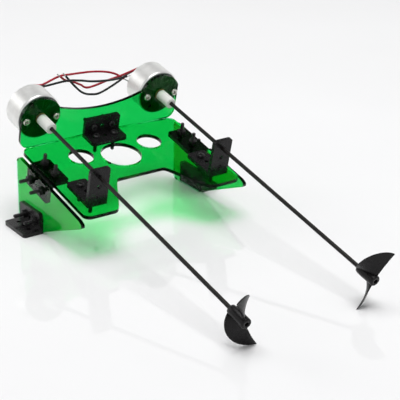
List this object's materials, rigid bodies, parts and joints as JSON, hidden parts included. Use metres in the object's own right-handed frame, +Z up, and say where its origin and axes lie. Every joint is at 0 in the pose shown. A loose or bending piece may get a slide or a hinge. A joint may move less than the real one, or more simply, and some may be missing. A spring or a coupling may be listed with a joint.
{
  "type": "twin-propeller drive unit",
  "caption": "Motor-driven propeller unit for a model boat: an acrylic frame on angle-bracket feet carries small motors, each turning a long inclined shaft with a propeller.",
  "frame": {"origin": "centre of the bounding box in plan, on the surface the feet and lower propeller blades rest on; the loose motor leads are left out", "axes": "+X to the right seen from the propellers, +Y from the propellers back to the motors, +Z up"},
  "size_m": [0.12, 0.2101, 0.0668],
  "materials": {
    "acrylic": "clear green cast sheet, polished",
    "brackets": "moulded, glossy black",
    "black_fasteners": "black oxide, oiled",
    "motor_screws": "bright zinc plate",
    "cans": "drawn, satin",
    "end_caps": "moulded black",
    "magnets": "sintered ferrite, matt",
    "bushes": "sintered bronze",
    "brushes": "spring copper alloy",
    "terminals": "tinned",
    "laminations": "stacked sheet",
    "windings": "enamelled copper wire",
    "commutators": "turned copper",
    "shafts": "ground, dark grey",
    "couplers": "off-white nylon",
    "propellers": "moulded, glossy black",
    "red_leads": "PVC sleeve",
    "black_leads": "PVC sleeve",
    "tinned_ends": "solder-tinned strands"
  },
  "bodies": {
    "frame": {"base_plate": "acrylic", "motor_plate": "acrylic", "side_plate_left": "acrylic", "side_plate_right": "acrylic", "centre_bracket": "brackets", "side_bracket_left": "brackets", "side_bracket_right": "brackets", "shaft_bracket_left": "brackets", "shaft_bracket_right": "brackets", "foot_bracket_left": "brackets", "foot_bracket_right": "brackets", "centre_screws": "black_fasteners", "centre_nuts": "black_fasteners", "side_screws_left": "black_fasteners", "side_screws_right": "black_fasteners", "side_nuts_left": "black_fasteners", "side_nuts_right": "black_fasteners", "shaft_bracket_screws_left": "black_fasteners", "shaft_bracket_screws_right": "black_fasteners", "shaft_bracket_nuts_left": "black_fasteners", "shaft_bracket_nuts_right": "black_fasteners", "foot_screws_left": "black_fasteners", "foot_screws_right": "black_fasteners", "foot_nuts_left": "black_fasteners", "foot_nuts_right": "black_fasteners", "motor_screws_left": "motor_screws", "motor_screws_right": "motor_screws", "motor_can_left": "cans", "motor_can_right": "cans", "motor_end_cap_left": "end_caps", "motor_end_cap_right": "end_caps", "motor_magnets_left": "magnets", "motor_magnets_right": "magnets", "motor_bushes_left": "bushes", "motor_bushes_right": "bushes", "motor_brushes_left": "brushes", "motor_brushes_right": "brushes", "motor_terminals_left": "terminals", "motor_terminals_right": "terminals", "red_lead_left": "red_leads", "black_lead_left": "black_leads", "red_lead_right": "red_leads", "black_lead_right": "black_leads", "lead_ends_left": "tinned_ends", "lead_ends_right": "tinned_ends"},
    "left_drive": {"rotor_core_left": "laminations", "rotor_windings_left": "windings", "commutator_left": "commutators", "motor_shaft_left": "shafts", "coupler_left": "couplers", "propeller_shaft_left": "shafts", "propeller_left": "propellers"},
    "right_drive": {"rotor_core_right": "laminations", "rotor_windings_right": "windings", "commutator_right": "commutators", "motor_shaft_right": "shafts", "coupler_right": "couplers", "propeller_shaft_right": "shafts", "propeller_right": "propellers"}
  },
  "joints": [
    {"name": "left_drive_spin", "type": "hinge", "parent": "frame", "child": "left_drive", "pos_m": [-0.036, 0.07989, 0.05182], "axis": [0, -0.9763, -0.2164], "continuous": true},
    {"name": "right_drive_spin", "type": "hinge", "parent": "frame", "child": "right_drive", "pos_m": [0.036, 0.07989, 0.05182], "axis": [0, -0.9763, -0.2164], "continuous": true}
  ]
}
